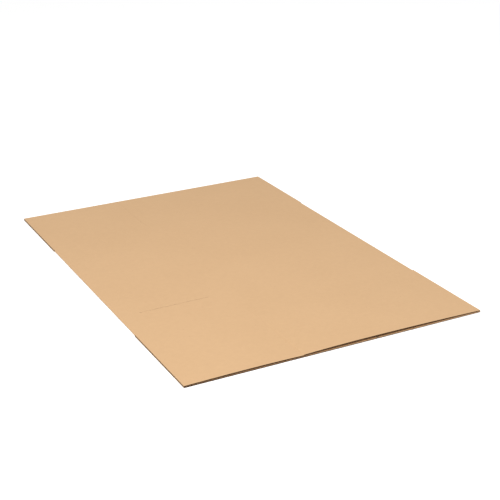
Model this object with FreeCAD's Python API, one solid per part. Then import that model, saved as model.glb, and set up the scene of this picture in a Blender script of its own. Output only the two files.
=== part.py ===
import FreeCAD, Part
import os
from FreeCAD import Vector

# A full-overlap slotted carton, glued at its joint and knocked down flat.
# It is one sheet of board folded into a flat sleeve: two layers, two folded sides, four slit
# flaps at each end, and a glue lap shut in between the layers.
# +X runs across the panels, +Y along the flutes and +Z up. The origin is on the underside,
# in the middle of the flat carton. All sizes are in millimetres.

# The box that the sheet makes up into
PANEL_WIDE = 300.0
PANEL_NARROW = 180.0
BOX_DEPTH = 370.0
FLAP_LENGTH = 175.0
BOARD = 1.5

# The two side folds, pressed flat: the air left in the bend, and how far it draws the side in
FOLD_AIR = 0.1
FOLD_INSET = 0.7

# Slits between neighbouring flaps are knife cuts that take no board away
FLAP_SLIT = 0.3

# The joint: a lap of board that steps up from one wide panel and is glued inside the next panel
LAP_WIDTH = 32.0
LAP_TAPER = 14.0
LAP_END_CUT = 4.0
LAP_STEP_RUN = 3.0
LAP_JOINT_GAP = 0.5
LAP_CLEARANCE = 0.3

# The hand hold of each narrow panel is a single closed cut that the fingers push in
HAND_SLIT_LENGTH = 115.0
HAND_SLIT_WIDTH = 0.3
HAND_SLIT_FROM_SCORE = 65.0

# Scores are pressed into the inner faces, where the flutes are crushed
SCORE_WIDTH = 3.0
SCORE_PRESS = 0.3

# The upper front flaps spring up a little from lying flat, each in its own arc
NARROW_CROWN_LIFT = 1.1
NARROW_CROWN_FROM_EDGE = 110.0
NARROW_SLIT_LIFT = 0.2
WIDE_CROWN_LIFT = 2.7
WIDE_CROWN_FROM_SLIT = 100.0
WIDE_SLIT_LIFT = 1.0

# Places worked out from the sizes
HALF_WIDTH = (PANEL_WIDE + PANEL_NARROW) / 2
HALF_DEPTH = BOX_DEPTH / 2
END = HALF_DEPTH + FLAP_LENGTH
UPPER_SLIT = PANEL_NARROW - HALF_WIDTH
LOWER_SLIT = PANEL_WIDE - HALF_WIDTH
UPPER_LEVEL = BOARD + FOLD_AIR
FOLD_RADIUS = BOARD + FOLD_AIR / 2
FOLD_CENTRE = HALF_WIDTH - FOLD_INSET - FOLD_RADIUS
STEP_START = LOWER_SLIT - LAP_STEP_RUN / 2
STEP_END = LOWER_SLIT + LAP_STEP_RUN / 2
FREE_EDGE = STEP_END + LAP_JOINT_GAP
LAP_EDGE = LOWER_SLIT + LAP_WIDTH
LAP_MIDDLE = (STEP_START + LAP_EDGE) / 2
LAP_HALF_DEPTH = HALF_DEPTH - LAP_END_CUT
HUMP_LEVEL = 2 * BOARD + LAP_CLEARANCE
NARROW_CROWN = NARROW_CROWN_FROM_EDGE - HALF_WIDTH
WIDE_CROWN = UPPER_SLIT + WIDE_CROWN_FROM_SLIT

# The underside of the upper layer, which is low at both folds and rides up over the lap. Each
# span gives where it starts and stops, and the evenly spaced control heights of its curve.
HUMP = (
    (-HALF_WIDTH, -FOLD_CENTRE, (UPPER_LEVEL, UPPER_LEVEL)),
    (-FOLD_CENTRE, LAP_MIDDLE, (UPPER_LEVEL, UPPER_LEVEL, HUMP_LEVEL, HUMP_LEVEL)),
    (LAP_MIDDLE, FOLD_CENTRE, (HUMP_LEVEL, HUMP_LEVEL, UPPER_LEVEL, UPPER_LEVEL)),
    (FOLD_CENTRE, HALF_WIDTH, (UPPER_LEVEL, UPPER_LEVEL)),
)


def line(x1, z1, x2, z2, y):
    return Part.LineSegment(Vector(x1, y, z1), Vector(x2, y, z2)).toShape()


def half_round(x, z1, z2, side, y):
    """A fold's half circle between two heights, bulging to one side."""
    middle = Vector(x + side * (z2 - z1) / 2, y, (z1 + z2) / 2)
    return Part.Arc(Vector(x, y, z1), middle, Vector(x, y, z2)).toShape()


def along(spans, breaks, raised, y):
    """An edge from each break to the next, cut from the smooth curve of the span it lies in."""
    edges = []
    for x1, x2 in zip(breaks, breaks[1:]):
        start, stop, heights = next(span for span in spans if span[0] < (x1 + x2) / 2 < span[1])
        step = (stop - start) / (len(heights) - 1)
        curve = Part.BezierCurve()
        curve.setPoles([Vector(start + i * step, y, z + raised) for i, z in enumerate(heights)])
        curve.segment((x1 - start) / (stop - start), (x2 - start) / (stop - start))
        edges.append(curve.toShape())
    return edges


def extrude(edges, length):
    return Part.Face(Part.Wire(Part.__sortEdges__(edges))).extrude(Vector(0, length, 0))


def sleeve():
    """The four panels: one strip of board from its first edge, round both folds, to its last."""
    y = -HALF_DEPTH
    first_edge = LOWER_SLIT - FLAP_SLIT / 2
    edges = [line(edge, 0.0, edge, BOARD, y) for edge in (first_edge, FREE_EDGE)]
    for floor, raised in ((0.0, BOARD), (BOARD, 0.0)):
        edges += along(HUMP, (-FOLD_CENTRE, LAP_MIDDLE, FOLD_CENTRE), raised, y)
        for side, edge in ((-1, first_edge), (1, FREE_EDGE)):
            edges.append(half_round(side * FOLD_CENTRE, floor, UPPER_LEVEL + raised, side, y))
            edges.append(line(side * FOLD_CENTRE, floor, edge, floor, y))
    return extrude(edges, BOX_DEPTH)


def glue_lap():
    """The lap: it steps up through its own thickness, and its free corners are cut back."""
    y = -LAP_HALF_DEPTH
    step = [(STEP_START, STEP_END, (0.0, 0.0, BOARD, BOARD))]
    edges = [line(STEP_START, 0.0, STEP_START, BOARD, y), line(LAP_EDGE, BOARD, LAP_EDGE, 2 * BOARD, y)]
    for raised in (0.0, BOARD):
        edges += along(step, (STEP_START, STEP_END), raised, y)
        edges.append(line(STEP_END, BOARD + raised, LAP_EDGE, BOARD + raised, y))
    corners = []
    for side in (-1, 1):
        end = side * LAP_HALF_DEPTH
        outline = [(FREE_EDGE, end), (LAP_EDGE, end), (LAP_EDGE, end - side * LAP_TAPER), (FREE_EDGE, end)]
        corner = Part.Face(Part.makePolygon([Vector(x, y, BOARD) for x, y in outline]))
        corners.append(corner.extrude(Vector(0, 0, BOARD)))
    return extrude(edges, 2 * LAP_HALF_DEPTH).cut(corners)


def lap_opening():
    """What the first panel's edge gives up where the lap grows out of it."""
    return Part.makeBox(LAP_STEP_RUN, 2 * LAP_HALF_DEPTH, BOARD, Vector(STEP_START, -LAP_HALF_DEPTH, 0))


def board_section(underside, top):
    """A flap's cross-section, from the edges along its underside and its top."""
    sides = []
    for end in (0, -1):
        corners = [edges[end].Vertexes[end].Point for edges in (underside, top)]
        sides.append(Part.LineSegment(*corners).toShape())
    return Part.Wire(underside + [sides[1]] + top[::-1] + [sides[0]])


def lower_flap(left, right, end):
    """A flap of the lower layer, flat on the ground."""
    return Part.makeBox(right - left, FLAP_LENGTH, BOARD, Vector(left, min(end * HALF_DEPTH, end * END), 0))


def upper_flap(root_breaks, tip_breaks, tip_spans, end):
    """A flap whose section eases from the sleeve's hump, at the score, to its own arc at the tip."""
    root = [along(HUMP, root_breaks, raised, end * HALF_DEPTH) for raised in (0.0, BOARD)]
    tip = [along(tip_spans, tip_breaks, raised, end * END) for raised in (0.0, BOARD)]
    return Part.makeLoft([board_section(*root), board_section(*tip)], True, True)


def arc_spans(left, crown, right, lifts):
    """A sprung flap's arc: level at its crown and free to slope at both of its edges."""
    left_z, crown_z, right_z = [UPPER_LEVEL + lift for lift in lifts]
    return [(left, crown, (left_z, crown_z, crown_z)), (crown, right, (crown_z, crown_z, right_z))]


def flaps():
    narrow_right = UPPER_SLIT - FLAP_SLIT / 2
    wide_left = UPPER_SLIT + FLAP_SLIT / 2
    narrow_breaks = (-HALF_WIDTH, -FOLD_CENTRE, NARROW_CROWN, narrow_right)
    wide_root = (wide_left, LAP_MIDDLE, FOLD_CENTRE, HALF_WIDTH)
    wide_tip = (wide_left, WIDE_CROWN, FOLD_CENTRE, HALF_WIDTH)
    pieces = []
    for end, spring in ((-1, 1.0), (1, 0.0)):
        narrow_lifts = [spring * lift for lift in (0.0, NARROW_CROWN_LIFT, NARROW_SLIT_LIFT)]
        wide_lifts = [spring * lift for lift in (WIDE_SLIT_LIFT, WIDE_CROWN_LIFT, 0.0)]
        narrow_arc = arc_spans(-HALF_WIDTH, NARROW_CROWN, narrow_right, narrow_lifts)
        wide_arc = arc_spans(wide_left, WIDE_CROWN, HALF_WIDTH, wide_lifts)
        pieces += [
            upper_flap(narrow_breaks, narrow_breaks, narrow_arc, end),
            upper_flap(wide_root, wide_tip, wide_arc, end),
            lower_flap(-HALF_WIDTH, LOWER_SLIT - FLAP_SLIT / 2, end),
            lower_flap(FREE_EDGE, HALF_WIDTH, end),
        ]
    return pieces


def upper_score(breaks, y, length):
    """A line pressed up into the underside of the upper layer."""
    lower, upper = [along(HUMP, breaks, raised, y) for raised in (-FOLD_AIR / 2, SCORE_PRESS)]
    return extrude(board_section(lower, upper).Edges, length)


def scores():
    """The flap scores of both layers, and the one corner score of the upper layer that lies flat."""
    corner = (UPPER_SLIT - SCORE_WIDTH / 2, UPPER_SLIT + SCORE_WIDTH / 2)
    pressed = [upper_score(corner, -HALF_DEPTH, BOX_DEPTH)]
    for y in (-HALF_DEPTH - SCORE_WIDTH / 2, HALF_DEPTH - SCORE_WIDTH / 2):
        pressed.append(upper_score((-FOLD_CENTRE, LAP_MIDDLE, FOLD_CENTRE), y, SCORE_WIDTH))
        pressed.append(Part.makeBox(2 * FOLD_CENTRE, SCORE_WIDTH, SCORE_PRESS + FOLD_AIR / 2,
                                    Vector(-FOLD_CENTRE, y, BOARD - SCORE_PRESS)))
    return pressed


def hand_slits():
    """One through the upper narrow panel, and one through the lower, on the other side."""
    y = HAND_SLIT_FROM_SCORE - HALF_DEPTH - HAND_SLIT_WIDTH / 2
    between_layers = BOARD + FOLD_AIR / 2
    reach = HUMP_LEVEL + BOARD
    inset = (PANEL_NARROW - HAND_SLIT_LENGTH) / 2
    corners = (
        Vector(inset - HALF_WIDTH, y, between_layers),
        Vector(HALF_WIDTH - inset - HAND_SLIT_LENGTH, y, between_layers - reach),
    )
    return [Part.makeBox(HAND_SLIT_LENGTH, HAND_SLIT_WIDTH, reach, corner) for corner in corners]


def carton():
    sheet = sleeve().cut(lap_opening())
    sheet = sheet.fuse([glue_lap()] + flaps())
    sheet = sheet.cut(scores() + hand_slits())
    return sheet.removeSplitter()


os.makedirs("parts", exist_ok=True)
carton().exportStep("parts/flat_carton.step")
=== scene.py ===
import math
from collections import namedtuple

import bmesh
import bpy
from bpy.props import FloatProperty, FloatVectorProperty, PointerProperty
from mathutils import Matrix, Vector


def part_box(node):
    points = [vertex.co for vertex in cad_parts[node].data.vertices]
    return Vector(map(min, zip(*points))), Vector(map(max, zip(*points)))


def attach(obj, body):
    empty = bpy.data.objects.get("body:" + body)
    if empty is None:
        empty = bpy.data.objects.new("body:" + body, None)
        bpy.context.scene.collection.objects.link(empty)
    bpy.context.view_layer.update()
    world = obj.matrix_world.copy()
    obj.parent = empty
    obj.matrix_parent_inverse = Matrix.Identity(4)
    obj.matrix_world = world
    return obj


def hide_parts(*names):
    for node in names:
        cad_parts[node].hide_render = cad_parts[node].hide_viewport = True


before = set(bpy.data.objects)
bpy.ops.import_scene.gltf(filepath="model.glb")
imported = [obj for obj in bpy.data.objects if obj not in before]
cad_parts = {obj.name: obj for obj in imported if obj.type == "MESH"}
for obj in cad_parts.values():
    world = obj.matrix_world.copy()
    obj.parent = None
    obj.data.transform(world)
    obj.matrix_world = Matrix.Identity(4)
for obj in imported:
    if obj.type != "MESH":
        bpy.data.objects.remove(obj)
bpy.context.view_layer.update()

# The looks of a knocked-down corrugated carton: paper liners round a fluted medium, folded flat
# into two layers, on a studio floor. All lengths are in metres, and the frame is the CAD model's.

bl_info = {
    "name": "Flat Carton",
    "version": (1, 0, 0),
    "blender": (4, 5, 0),
    "location": "View3D > Sidebar > Carton",
    "description": "Lays a knocked-down corrugated carton and sets it on a studio floor",
    "category": "Add Mesh",
}

NODE = "flat_carton"
LOW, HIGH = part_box(NODE)
MM = 0.001

# How finely the meshes are divided. FOLD_STEPS is odd, so that the middle strip of each fold can
# be left out where the flaps' edges lie open.
PAPER_STEP = 5 * MM
ROW_STEP = 20 * MM
STEPS_PER_FLUTE = 6
FOLD_STEPS = 11
RISE_STEPS = 6
SMOOTH_UNDER = math.radians(35)

# Sizes of what shows in the liner's surface. Real fibres are about 3 mm by 0.03 mm, and these are
# drawn 5 mm by 0.5 mm, to show at all.
FIBRE_LENGTH = 5 * MM
FIBRE_WIDTH = 0.5 * MM
CLOUD = 7 * MM
DRIFT = 130 * MM
FLECKS_APART = 22 * MM
FLECK = 0.66 * MM
WASHBOARD_DEPTH = 0.003 * MM
GRAIN_DEPTH = 0.03 * MM

# Sizes of what shows in the fluting, in the cut edges and in the floor's card
SHORT_FIBRE = 0.8 * MM
SHORT_FIBRE_DEPTH = 0.02 * MM
CUT_END = 0.6 * MM
CUT_END_DEPTH = 0.05 * MM
CARD_TOOTH = 40 * MM

# How the papers take the light. The liner is a little duller in some of its clouds than in others.
PAPER_IOR = 1.45
LINER_ROUGHNESS = (0.86, 0.94)
FLUTING_ROUGHNESS = 0.93
CUT_ROUGHNESS = 0.97

# The sockets of a mix of two colours
MIX_A, MIX_B, MIXED = 6, 7, 2

# How far the floor lies under the carton, so that the two don't share a plane
FLOOR_DROP = 0.05 * MM


def linear(code):
    """The linear colour of an sRGB hex code."""
    shares = [int(code[i:i + 2], 16) / 255 for i in (0, 2, 4)]
    return [c / 12.92 if c <= 0.04045 else ((c + 0.055) / 1.055) ** 2.4 for c in shares]


def length(label, default, tells):
    """A size that the user can set, in metres."""
    return FloatProperty(name=label, description=tells, default=default, min=0.0, unit="LENGTH",
                         precision=5)


def tint(label, code, tells):
    """A colour that the user can set, from its sRGB hex code."""
    return FloatVectorProperty(name=label, description=tells, default=linear(code), size=3, min=0.0,
                               max=1.0, subtype="COLOR")


class CartonSizes(bpy.types.PropertyGroup):
    """The carton's sizes. Its width, length and height come from the frame."""
    narrow_panel: length("Narrow panel", 180 * MM, "Width of the narrow panels")
    flap: length("Flap", 175 * MM, "Length of all eight flaps")
    board: length("Board", 1.5 * MM, "Thickness of the corrugated board")
    fold_air: length("Fold air", 0.1 * MM, "Air left between the layers in a side fold")
    fold_inset: length("Fold inset", 0.7 * MM, "How far a side fold draws the side in")
    knife: length("Knife cut", 0.02 * MM, "Width of the slits between flaps, at the faces")
    back_slit: length("Back slit", 0.1 * MM, "How far the slit between the back flaps stands open")
    hand_slit: length("Hand slit", 115 * MM, "Length of the cut of a hand hold")
    hand_slit_gap: length("Hand slit gap", 0.27 * MM, "Width that the hand slit stands open")
    hand_slit_in: length("Hand slit place", 65 * MM, "From the front score to the hand slit")
    lap: length("Lap", 32 * MM, "Width of the glue lap")
    lap_taper: length("Lap taper", 14 * MM, "How much the lap's free edge is shorter at each end")
    lap_end_cut: length("Lap end cut", 4 * MM, "From the score to the lap's end")
    lap_step: length("Lap step", 3 * MM, "Run in which the lap steps up through the board")
    lap_gap: length("Lap gap", 0.5 * MM, "From the lap's step to the edge of the panel glued to it")
    lap_clearance: length("Lap clearance", 0.3 * MM, "Air over the lap")
    glue: length("Glue film", 0.02 * MM, "Glue between the lap and its panel")
    score: length("Score width", 3 * MM, "Width of a score")
    score_press: length("Score press", 0.3 * MM, "How deep a score is pressed into the inner face")
    tip_press: length("Tip press", 0.32 * MM, "How far the inner face is rolled over at a tip")
    tip_lean: FloatProperty(
        name="Tip lean", description="How much more it is rolled over at the right side, and less "
        "at the left", default=1.0, min=0.0, max=1.0, subtype="FACTOR")
    tip_run: length("Tip run", 1.6 * MM, "How far in from the tip it is rolled over")
    narrow_crown: length("Narrow crown", 110 * MM, "From the side to the narrow flap's crown")
    narrow_lift: length("Narrow lift", 1.1 * MM, "How high the narrow front flap springs")
    narrow_slit_lift: length("Narrow slit lift", 0.2 * MM, "How high it stands at the slit")
    wide_crown: length("Wide crown", 100 * MM, "From the slit to the wide flap's crown")
    wide_slit_lift: length("Wide slit lift", 1.0 * MM, "How high the wide flap stands at the slit")


class BoardMakeup(bpy.types.PropertyGroup):
    """What the board is made of."""
    liner: length("Liner", 0.2 * MM, "Thickness of a liner")
    medium: length("Medium", 0.16 * MM, "Thickness of the fluted medium")
    flute: length("Flute", 3.3 * MM, "From one flute to the next, as in E-flute board")


class PaperColours(bpy.types.PropertyGroup):
    """The paper's colours."""
    liner: tint("Kraft liner", "B89670", "Unbleached kraft liner")
    liner_dark: tint("Dark fibre", "B2906A", "The liner's darker fibres")
    speck: tint("Speck", "6E4F35", "Flecks of bark in the liner")
    # The fluting's colour is partly painted shade: far darker than the paper itself, for the shade
    # in the open flutes and between the layers.
    medium: tint("Fluting", "301806", "Recycled fluting medium")
    # The cut edge's colour is partly the raw edge's own brown and partly painted shade, for the gap
    # under the upper layer and the open flutes.
    cut: tint("Cut edge", "502B0F", "Raw cut edge of the paper")
    card: tint("White card", "F8F8F8", "The studio's floor")
    card_dark: tint("Shaded card", "F6F6F6", "The floor's slightly darker places")


class StudioSizes(bpy.types.PropertyGroup):
    """The floor, the light and the camera."""
    floor_reach: length("Floor", 14.0, "Side of the floor")
    sky: FloatProperty(name="Fill", description="Strength of the even fill light", default=1.03,
                       min=0.0)
    sky_colour: tint("Fill colour", "FFFFFF", "Colour of the fill light and of the background")
    lamp_power: FloatProperty(name="Lamp", description="Power of the soft lamp", default=17.6,
                              unit="POWER")
    lamp_size: length("Lamp size", 0.9, "Side of the soft lamp")
    lamp_place: FloatVectorProperty(name="Lamp place", description="Where the soft lamp hangs",
                                    default=(-0.55, -0.7, 1.4), subtype="TRANSLATION")
    camera_place: FloatVectorProperty(name="Camera place", description="Where the camera stands",
                                      default=(-0.76183, -1.61342, 0.74422), subtype="TRANSLATION")
    yaw: FloatProperty(name="Yaw", description="Camera's turn from +Y towards +X",
                       default=math.radians(26.4243), subtype="ANGLE")
    pitch: FloatProperty(name="Pitch", description="How far the camera looks down",
                         default=math.radians(22.1097), subtype="ANGLE")
    roll: FloatProperty(name="Roll", description="How far the camera tips to its left",
                        default=math.radians(-1.2088), subtype="ANGLE")
    lens: FloatProperty(name="Lens", description="Focal length on a 36 mm sensor", default=84.197,
                        subtype="DISTANCE_CAMERA")


class CartonSettings(bpy.types.PropertyGroup):
    """All that can be set, in its groups."""
    sizes: PointerProperty(type=CartonSizes)
    makeup: PointerProperty(type=BoardMakeup)
    colours: PointerProperty(type=PaperColours)
    studio: PointerProperty(type=StudioSizes)


# A line across the sheet: the part it lies in, and its place there. In a flat part the place is
# x, and in a fold it is the share of the half turn.
Station = namedtuple("Station", "part at")
FOLDS = ("left_fold", "right_fold")


def ease(t):
    """A smooth rise from 0 to 1, level at both ends."""
    t = min(max(t, 0.0), 1.0)
    return t * t * (3 - 2 * t)


def with_breaks(start, stop, step, breaks=()):
    """Even places from start to stop, giving way to the breaks that lie between."""
    count = max(1, round(abs(stop - start) / step))
    even = [start + (stop - start) * i / count for i in range(count + 1)]
    inside = [b for b in breaks if min(start, stop) < b < max(start, stop)]
    near = abs(stop - start) / count / 4
    kept = [e for e in even[1:-1] if all(abs(e - b) > near for b in inside)]
    return sorted([start, stop] + kept + inside, reverse=stop < start)


class Sheet:
    """The carton's one sheet, folded flat: from its glue lap, along the lower layer to the left
    fold, along the upper layer to the right fold, and back along the lower layer to its edge."""

    def __init__(self, sizes):
        s = sizes
        self.board = s.board
        self.knife = s.knife
        self.back_slit = s.back_slit
        self.half_width = HIGH[0]
        self.end = HIGH[1]
        self.flap = s.flap
        self.half_depth = self.end - s.flap
        self.upper_slit = s.narrow_panel - self.half_width
        self.lower_slit = -self.upper_slit
        self.upper_level = s.board + s.fold_air
        self.fold_radius = s.board + s.fold_air / 2
        self.fold_centre = self.half_width - s.fold_inset - self.fold_radius
        self.step_start = self.lower_slit - s.lap_step / 2
        self.step_end = self.lower_slit + s.lap_step / 2
        self.first_edge = self.lower_slit - s.knife / 2
        self.free_edge = self.step_end + s.lap_gap
        self.lap_edge = self.lower_slit + s.lap
        self.lap_taper = s.lap_taper
        self.lap_half_depth = self.half_depth - s.lap_end_cut
        self.lap_middle = (self.step_start + self.lap_edge) / 2
        self.lap_rise = s.board + s.glue
        self.hump_rise = s.board + s.lap_clearance - s.fold_air
        self.score = s.score
        self.score_press = s.score_press
        self.tip_press = s.tip_press
        self.tip_lean = s.tip_lean
        self.tip_run = s.tip_run
        self.hand_slit = s.hand_slit
        self.hand_slit_gap = s.hand_slit_gap
        self.hand_y = s.hand_slit_in - self.half_depth
        self.hand_x = s.narrow_panel / 2 - self.half_width
        wide_lift = HIGH[2] - self.upper_level - s.board
        if wide_lift < s.wide_slit_lift or self.hump_rise < 0:
            raise ValueError("The board, the air and the lift don't fit in the carton's height")
        self.narrow_arc = (
            (-self.half_width, 0.0),
            (s.narrow_crown - self.half_width, s.narrow_lift),
            (self.upper_slit, s.narrow_slit_lift),
        )
        self.wide_arc = (
            (self.upper_slit, s.wide_slit_lift),
            (self.upper_slit + s.wide_crown, wide_lift),
            (self.half_width, 0.0),
        )

    def hump(self, x):
        """The upper layer's underside in the sleeve: low at the folds and raised over the lap."""
        foot = -self.fold_centre if x < self.lap_middle else self.fold_centre
        return self.upper_level + self.hump_rise * ease((x - foot) / (self.lap_middle - foot))

    def spring(self, x):
        """How far the tip of a front flap springs up, in an arc that is level at its crown."""
        left, crown, right = self.narrow_arc if x < self.upper_slit else self.wide_arc
        side = left if x < crown[0] else right
        return crown[1] - (crown[1] - side[1]) * ((crown[0] - x) / (crown[0] - side[0])) ** 2

    def underside(self, x, y):
        """Height of the upper layer's underside, in the sleeve and out along its flaps."""
        root = self.hump(x)
        tip = self.upper_level + (self.spring(x) if y < 0 else 0.0)
        share = max(abs(y) - self.half_depth, 0.0) / self.flap
        return root + (tip - root) * share

    def across(self, station):
        """A station's x. In a fold it is the x of the flap's side, which stands out past it."""
        if station.part not in FOLDS:
            return station.at
        side = -1 if station.part == "left_fold" else 1
        reach = min(station.at, 1 - station.at) * 2 * FOLD_STEPS / (FOLD_STEPS - 1)
        return side * (self.fold_centre + (self.half_width - self.fold_centre) * reach)

    def is_upper(self, station):
        """Whether a station lies in the upper layer, as half of each fold does."""
        if station.part in FOLDS:
            return (station.at > 0.5) == (station.part == "left_fold")
        return station.part == "upper"

    def point(self, station, y, depth):
        """A place on the sheet, at a depth under the carton's outer face."""
        x = self.across(station)
        if station.part == "lap":
            if abs(y) > self.lap_half_depth:
                return self.first_edge, y, depth
            taper = self.lap_taper * max(x - self.free_edge, 0.0) / (self.lap_edge - self.free_edge)
            rise = self.lap_rise * ease((x - self.step_start) / (self.step_end - self.step_start))
            return x, y * (1 - taper / self.lap_half_depth), rise + depth
        if station.part in FOLDS and abs(y) <= self.half_depth:
            turn = math.pi * (station.at if station.part == "left_fold" else 1 - station.at)
            radius = self.fold_radius - depth
            side = math.copysign(1.0, x)
            return (side * (self.fold_centre + radius * math.sin(turn)), y,
                    self.fold_radius - radius * math.cos(turn))
        if self.is_upper(station):
            return x, y, self.underside(x, y) + self.board - depth
        return x, y, depth

    def press(self, station, y):
        """How far the inner face is pressed in, by a score or by the knife at a flap's tip."""
        x = self.across(station)
        in_tip = 1 - (self.end - abs(y)) / self.tip_run
        if in_tip > 0:
            return self.tip_press * (1 + self.tip_lean * x / self.half_width) * in_tip ** 2
        if station.part in FOLDS or station.part == "lap":
            return 0.0
        from_scores = [abs(abs(y) - self.half_depth)]
        if station.part == "upper" and abs(y) <= self.half_depth:
            from_scores.append(abs(x - self.upper_slit))
        share = 1 - min(from_scores) / (self.score / 2)
        return self.score_press * min(max(share * 2, 0.0), 1.0)

    def roll(self, station, y):
        """How far the outer face is rolled down beside the slit between the front flaps, where the
        wide flap springs higher than the narrow one."""
        away = self.across(station) - self.upper_slit
        if not self.is_upper(station) or away < 0 or y > -self.half_depth:
            return 0.0
        step = (self.wide_arc[0][1] - self.narrow_arc[2][1]) * (-y - self.half_depth) / self.flap
        return step * max(1 - away / (self.score / 2), 0.0)

    def is_board(self, first, second, y):
        """Whether there is board between two stations, at a place along Y."""
        away = abs(y)
        in_flap = away > self.half_depth
        if first.part in FOLDS and second.part in FOLDS:
            torn = in_flap and away < self.half_depth + self.knife
            return not torn and not (in_flap and first.at < 0.5 < second.at)
        if first.part == "lap" and second.part == "lap":
            return away < self.lap_half_depth
        if first.part == "lap":
            return not self.lap_half_depth < away < self.lap_half_depth + self.knife
        x = (self.across(first) + self.across(second)) / 2
        gap = self.knife if y < 0 else self.back_slit
        if in_flap and first.part == "upper" and abs(x - self.upper_slit) < gap / 2:
            return False
        slit_x = {"upper": self.hand_x, "free": -self.hand_x}.get(first.part)
        in_slit = abs(y - self.hand_y) < self.hand_slit_gap / 2
        return slit_x is None or not in_slit or abs(x - slit_x) > self.hand_slit / 2

    def stations(self, step):
        """The lines across the sheet, in order along it."""
        hand = [self.hand_x - self.hand_slit / 2, self.hand_x + self.hand_slit / 2]
        edges = [self.upper_slit + side * reach for side in (-1, 1)
                 for reach in (self.knife / 2, self.back_slit / 2, self.score / 4, self.score / 2)]
        lap = with_breaks(self.lap_edge, self.step_end, step, [self.free_edge])
        rise = with_breaks(self.step_end, self.step_start,
                           (self.step_end - self.step_start) / RISE_STEPS)
        runs = (
            ("lap", lap[:-1] + rise[:-1]),
            ("lower", with_breaks(self.step_start, -self.fold_centre, step)[:-1]),
            ("left_fold", [k / FOLD_STEPS for k in range(FOLD_STEPS + 1)]),
            ("upper", with_breaks(-self.fold_centre, self.fold_centre, step, hand + edges)[1:-1]),
            ("right_fold", [k / FOLD_STEPS for k in range(FOLD_STEPS + 1)]),
            ("free", with_breaks(self.fold_centre, self.free_edge, step, [-x for x in hand])[1:]),
        )
        return [Station(part, at) for part, places in runs for at in places]

    def rows(self, step):
        """The lines along the sheet, from the front flaps' tips to the back flaps' tips. They lie
        closer where a tip is rolled over and where a score is pressed."""
        half = [self.end - self.tip_run * share for share in (1.0, 0.6, 0.25)]
        half += [self.half_depth + self.score * share for share in (0.5, 0.25, 0.0, -0.25, -0.5)]
        half += [self.half_depth + self.knife, self.lap_half_depth + self.knife,
                 self.lap_half_depth]
        slit = [self.hand_y - self.hand_slit_gap / 2, self.hand_y + self.hand_slit_gap / 2]
        return with_breaks(-self.end, self.end, step, [-y for y in half] + half + slit)


def layer(bm, sheet, stations, rows, near, far, has_paper):
    """A layer of paper as a closed shell between two depths, with a wall along every cut edge. A
    cut across the flutes, where the fibres' ends stand open, has the second material, whose dark
    colour is partly painted shade."""
    corners = {}

    def corner(place, side):
        if (place, side) not in corners:
            station, y = stations[place[0]], rows[place[1]]
            depth = (near, far)[side](station, y)
            corners[place, side] = bm.verts.new(sheet.point(station, y, depth))
        return corners[place, side]

    cells = {(i, j) for i in range(len(stations) - 1) for j in range(len(rows) - 1)
             if has_paper(stations[i], stations[i + 1], (rows[j] + rows[j + 1]) / 2)}
    if not cells:
        raise ValueError("These sizes leave no paper to lay")
    for i, j in sorted(cells):
        ring = ((i, j), (i + 1, j), (i + 1, j + 1), (i, j + 1))
        beside = ((i, j - 1), (i + 1, j), (i, j + 1), (i - 1, j))
        bm.faces.new([corner(place, 0) for place in ring])
        bm.faces.new([corner(place, 1) for place in reversed(ring)])
        for a, b, neighbour in zip(ring, ring[1:] + ring[:1], beside):
            if neighbour not in cells:
                wall = bm.faces.new((corner(b, 0), corner(a, 0), corner(a, 1), corner(b, 1)))
                # Walls across the flutes take the second material, with its painted shade.
                wall.material_index = int(neighbour[0] == i)


def lay(name, bm, face_material, cut_and_shade_material):
    """Turns a mesh into a piece that stands for the carton."""
    mesh = bpy.data.meshes.new(name)
    for face in bm.faces:
        face.smooth = True
    bm.to_mesh(mesh)
    bm.free()
    mesh.set_sharp_from_angle(angle=SMOOTH_UNDER)
    mesh.materials.append(face_material)
    mesh.materials.append(cut_and_shade_material)
    piece = bpy.data.objects.new(name, mesh)
    bpy.context.scene.collection.objects.link(piece)
    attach(piece, "root")
    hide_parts(NODE)


def add(tree, kind, inputs=None, **settings):
    """Adds a node. An input that is a socket is linked, and any other is set."""
    node = tree.nodes.new(kind)
    for name, value in settings.items():
        setattr(node, name, value)
    for name, value in (inputs or {}).items():
        if isinstance(value, bpy.types.NodeSocket):
            tree.links.new(value, node.inputs[name])
        else:
            node.inputs[name].default_value = value
    return node


def new_material(name):
    """An empty material, and its node tree."""
    material = bpy.data.materials.new(name)
    material.use_nodes = True
    material.node_tree.nodes.clear()
    return material, material.node_tree


def finish_material(tree, colour, roughness, normal):
    """Paper's surface: no metal, and a dull shine that only shows at a low angle."""
    shader = add(tree, "ShaderNodeBsdfPrincipled", {
        "Base Color": colour, "Roughness": roughness, "IOR": PAPER_IOR, "Metallic": 0.0,
        "Normal": normal})
    add(tree, "ShaderNodeOutputMaterial", {"Surface": shader.outputs["BSDF"]})


def rgba(colour):
    """A colour that nothing shows through."""
    return (*colour, 1.0)


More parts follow.
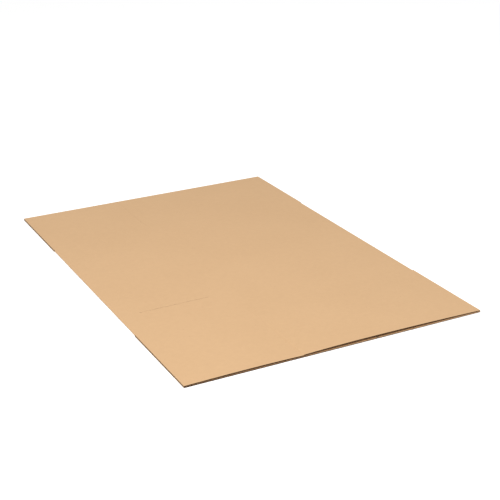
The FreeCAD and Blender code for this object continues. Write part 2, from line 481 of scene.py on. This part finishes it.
def kraft_liner(colours, makeup):
    """Unbleached kraft liner, made on a paper machine: long brown fibres laid mostly across the
    flutes, cloudy against the light, with flecks of bark. It is matt, and the flutes under it
    just show as a washboard."""
    material, tree = new_material("kraft_liner")
    place = add(tree, "ShaderNodeTexCoord").outputs["Object"]
    lie = (1 / FIBRE_LENGTH, 1 / FIBRE_WIDTH, 1 / FIBRE_WIDTH)
    run = add(tree, "ShaderNodeMapping", {"Vector": place, "Scale": lie})
    fibres = add(tree, "ShaderNodeTexNoise", {
        "Vector": run.outputs["Vector"], "Scale": 1.0, "Detail": 3.0, "Roughness": 0.6,
        "Distortion": 0.3})
    clouds = add(tree, "ShaderNodeTexNoise", {
        "Vector": place, "Scale": 1 / CLOUD, "Detail": 3.0, "Roughness": 0.55})
    drift = add(tree, "ShaderNodeTexNoise", {"Vector": place, "Scale": 1 / DRIFT, "Detail": 1.0})
    mixed = 0.0
    for noise, share in ((fibres, 0.45), (clouds, 0.35), (drift, 0.20)):
        mixed = add(tree, "ShaderNodeMath", {0: noise.outputs["Fac"], 1: share, 2: mixed},
                    operation="MULTIPLY_ADD").outputs[0]
    lightness = add(tree, "ShaderNodeMapRange", {
        "Value": mixed, "From Min": 0.35, "From Max": 0.65, "To Min": 0.0, "To Max": 1.0})
    paper = add(tree, "ShaderNodeMix", {
        "Factor": lightness.outputs["Result"], MIX_A: rgba(colours.liner_dark),
        MIX_B: rgba(colours.liner)}, data_type="RGBA")
    flecks = add(tree, "ShaderNodeTexVoronoi", {
        "Vector": place, "Scale": 1 / FLECKS_APART, "Randomness": 1.0})
    near = add(tree, "ShaderNodeMapRange", {
        "Value": flecks.outputs["Distance"], "From Min": 0.4 * FLECK / FLECKS_APART,
        "From Max": FLECK / FLECKS_APART, "To Min": 0.7, "To Max": 0.0})
    speckled = add(tree, "ShaderNodeMix", {
        "Factor": near.outputs["Result"], MIX_A: paper.outputs[MIXED],
        MIX_B: rgba(colours.speck)}, data_type="RGBA")
    x = add(tree, "ShaderNodeSeparateXYZ", {"Vector": place}).outputs["X"]
    turn = add(tree, "ShaderNodeMath", {0: x, 1: math.tau / makeup.flute}, operation="MULTIPLY")
    flute = add(tree, "ShaderNodeMath", {0: turn.outputs[0]}, operation="COSINE")
    washboard = add(tree, "ShaderNodeBump", {
        "Height": flute.outputs[0], "Distance": WASHBOARD_DEPTH})
    grain = add(tree, "ShaderNodeBump", {
        "Height": fibres.outputs["Fac"], "Distance": GRAIN_DEPTH,
        "Normal": washboard.outputs["Normal"]})
    sheen = add(tree, "ShaderNodeMapRange", {
        "Value": clouds.outputs["Fac"], "From Min": 0.3, "From Max": 0.7,
        "To Min": LINER_ROUGHNESS[0], "To Max": LINER_ROUGHNESS[1]})
    finish_material(tree, speckled.outputs[MIXED], sheen.outputs["Result"],
                    grain.outputs["Normal"])
    return material


def fluting_painted_shade(colours):
    """Fluting, a recycled paper formed hot between corrugating rolls: greyer and darker than the
    liner, dull, with short fibres. Its colour is partly its own and partly painted shade: made a
    near-black brown to stand in for the shade in the open flutes and in the gap between the layers."""
    material, tree = new_material("fluting_painted_shade")
    place = add(tree, "ShaderNodeTexCoord").outputs["Object"]
    fibres = add(tree, "ShaderNodeTexNoise", {
        "Vector": place, "Scale": 1 / SHORT_FIBRE, "Detail": 3.0, "Roughness": 0.6})
    dark = [0.8 * c for c in colours.medium]
    paper = add(tree, "ShaderNodeMix", {
        "Factor": fibres.outputs["Fac"], MIX_A: rgba(dark), MIX_B: rgba(colours.medium)},
        data_type="RGBA")
    grain = add(tree, "ShaderNodeBump", {
        "Height": fibres.outputs["Fac"], "Distance": SHORT_FIBRE_DEPTH})
    finish_material(tree, paper.outputs[MIXED], FLUTING_ROUGHNESS, grain.outputs["Normal"])
    return material


def cut_paper_painted_shade(colours):
    """The raw edge that the die leaves: pressed fibre ends, a little furry, with no shine. Its dark
    colour is partly the raw edge's own brown and partly painted shade, for the gap under the upper
    layer and the open flutes behind the edge.
    """
    material, tree = new_material("cut_paper_painted_shade")
    place = add(tree, "ShaderNodeTexCoord").outputs["Object"]
    ends = add(tree, "ShaderNodeTexNoise", {
        "Vector": place, "Scale": 1 / CUT_END, "Detail": 4.0, "Roughness": 0.7})
    dark = [0.72 * c for c in colours.cut]
    paper = add(tree, "ShaderNodeMix", {
        "Factor": ends.outputs["Fac"], MIX_A: rgba(dark), MIX_B: rgba(colours.cut)},
        data_type="RGBA")
    grain = add(tree, "ShaderNodeBump", {"Height": ends.outputs["Fac"], "Distance": CUT_END_DEPTH})
    finish_material(tree, paper.outputs[MIXED], CUT_ROUGHNESS, grain.outputs["Normal"])
    return material


def white_card(colours):
    """White matt card: pale enough to wash out in the photograph's light."""
    material, tree = new_material("white_card")
    place = add(tree, "ShaderNodeTexCoord").outputs["Object"]
    tooth = add(tree, "ShaderNodeTexNoise", {
        "Vector": place, "Scale": 1 / CARD_TOOTH, "Detail": 2.0})
    tone = add(tree, "ShaderNodeMix", {
        "Factor": tooth.outputs["Fac"], MIX_A: rgba(colours.card_dark),
        MIX_B: rgba(colours.card)}, data_type="RGBA")
    shader = add(tree, "ShaderNodeBsdfDiffuse", {"Color": tone.outputs[MIXED]})
    add(tree, "ShaderNodeOutputMaterial", {"Surface": shader.outputs["BSDF"]})
    return material


class CARTON_OT_liners(bpy.types.Operator):
    """Lay the outer and inner liners, round both folds and out along the flaps"""
    bl_idname = "carton.liners"
    bl_label = "Lay Liners"

    def execute(self, context):
        settings = context.scene.carton
        sheet = Sheet(settings.sizes)
        liner = settings.makeup.liner
        stations, rows = sheet.stations(PAPER_STEP), sheet.rows(ROW_STEP)
        bm = bmesh.new()

        def inner(station, y):
            return sheet.board - liner - sheet.press(station, y)

        for near in (sheet.roll, inner):
            layer(bm, sheet, stations, rows, near, lambda s, y: near(s, y) + liner, sheet.is_board)
        lay("carton_liners", bm, kraft_liner(settings.colours, settings.makeup),
            cut_paper_painted_shade(settings.colours))
        return {"FINISHED"}


class CARTON_OT_medium(bpy.types.Operator):
    """Lay the fluted medium between the liners, with its flutes along Y and open at the cut ends"""
    bl_idname = "carton.medium"
    bl_label = "Lay Medium"

    def execute(self, context):
        settings = context.scene.carton
        sheet = Sheet(settings.sizes)
        makeup = settings.makeup

        def surface(side):
            def depth(station, y):
                top = makeup.liner + sheet.roll(station, y)
                room = sheet.board - makeup.liner - sheet.press(station, y) - top
                wave = math.cos(math.tau * sheet.across(station) / makeup.flute)
                middle = top + room / 2 - wave * (room - makeup.medium) / 2
                return middle + side * makeup.medium / 2
            return depth

        def has_medium(first, second, y):
            crushed = first.part in FOLDS and second.part in FOLDS and abs(y) < sheet.half_depth
            return not crushed and sheet.is_board(first, second, y)

        bm = bmesh.new()
        layer(bm, sheet, sheet.stations(makeup.flute / STEPS_PER_FLUTE), sheet.rows(2 * sheet.end),
              surface(-1), surface(1), has_medium)
        fluting = fluting_painted_shade(settings.colours)
        lay("carton_medium", bm, fluting, fluting)
        return {"FINISHED"}


class CARTON_OT_studio(bpy.types.Operator):
    """Set the floor, the soft light and the camera"""
    bl_idname = "carton.studio"
    bl_label = "Set Studio"

    def execute(self, context):
        scene, studio = context.scene, context.scene.carton.studio
        bm = bmesh.new()
        bmesh.ops.create_grid(bm, x_segments=8, y_segments=8, size=studio.floor_reach / 2)
        mesh = bpy.data.meshes.new("studio_floor")
        bm.to_mesh(mesh)
        bm.free()
        mesh.materials.append(white_card(scene.carton.colours))
        floor = bpy.data.objects.new("studio_floor", mesh)
        floor.location.z = LOW[2] - FLOOR_DROP
        scene.collection.objects.link(floor)

        world = bpy.data.worlds.new("studio_fill")
        world.use_nodes = True
        world.node_tree.nodes.clear()
        seen = add(world.node_tree, "ShaderNodeLightPath").outputs["Is Camera Ray"]
        fill = add(world.node_tree, "ShaderNodeBackground", {
            "Color": rgba(studio.sky_colour), "Strength": studio.sky})
        background = add(world.node_tree, "ShaderNodeBackground", {
            "Color": rgba(studio.sky_colour), "Strength": 1.0})
        both = add(world.node_tree, "ShaderNodeMixShader",
                   {0: seen, 1: fill.outputs[0], 2: background.outputs[0]})
        add(world.node_tree, "ShaderNodeOutputWorld", {"Surface": both.outputs[0]})
        scene.world = world

        light = bpy.data.lights.new("soft_lamp", "AREA")
        light.energy = studio.lamp_power
        light.size = studio.lamp_size
        lamp = bpy.data.objects.new("soft_lamp", light)
        lamp.location = studio.lamp_place
        lamp.rotation_euler = (-Vector(studio.lamp_place)).to_track_quat("-Z", "Y").to_euler()
        lamp.visible_camera = False
        scene.collection.objects.link(lamp)

        lens = bpy.data.cameras.new("camera")
        lens.lens = studio.lens
        camera = bpy.data.objects.new("camera", lens)
        camera.matrix_world = (
            Matrix.Translation(studio.camera_place)
            @ Matrix.Rotation(-studio.yaw, 4, "Z")
            @ Matrix.Rotation(math.pi / 2 - studio.pitch, 4, "X")
            @ Matrix.Rotation(studio.roll, 4, "Z"))
        scene.collection.objects.link(camera)
        scene.camera = camera
        scene.view_settings.view_transform = "Standard"
        return {"FINISHED"}


class VIEW3D_PT_carton(bpy.types.Panel):
    """The carton's settings and the buttons that build it"""
    bl_label = "Flat Carton"
    bl_space_type = "VIEW_3D"
    bl_region_type = "UI"
    bl_category = "Carton"

    def draw(self, context):
        settings = context.scene.carton
        for group in (settings.sizes, settings.makeup, settings.colours, settings.studio):
            box = self.layout.box()
            for name in group.__annotations__:
                box.prop(group, name)
        for operator in (CARTON_OT_liners, CARTON_OT_medium, CARTON_OT_studio):
            self.layout.operator(operator.bl_idname)


CLASSES = (CartonSizes, BoardMakeup, PaperColours, StudioSizes, CartonSettings,
           CARTON_OT_liners, CARTON_OT_medium, CARTON_OT_studio, VIEW3D_PT_carton)


def register():
    for cls in CLASSES:
        bpy.utils.register_class(cls)
    bpy.types.Scene.carton = PointerProperty(type=CartonSettings)


def unregister():
    del bpy.types.Scene.carton
    for cls in reversed(CLASSES):
        bpy.utils.unregister_class(cls)


def main():
    register()
    bpy.ops.carton.liners()
    bpy.ops.carton.medium()
    bpy.ops.carton.studio()


if __name__ == "__main__":
    main()
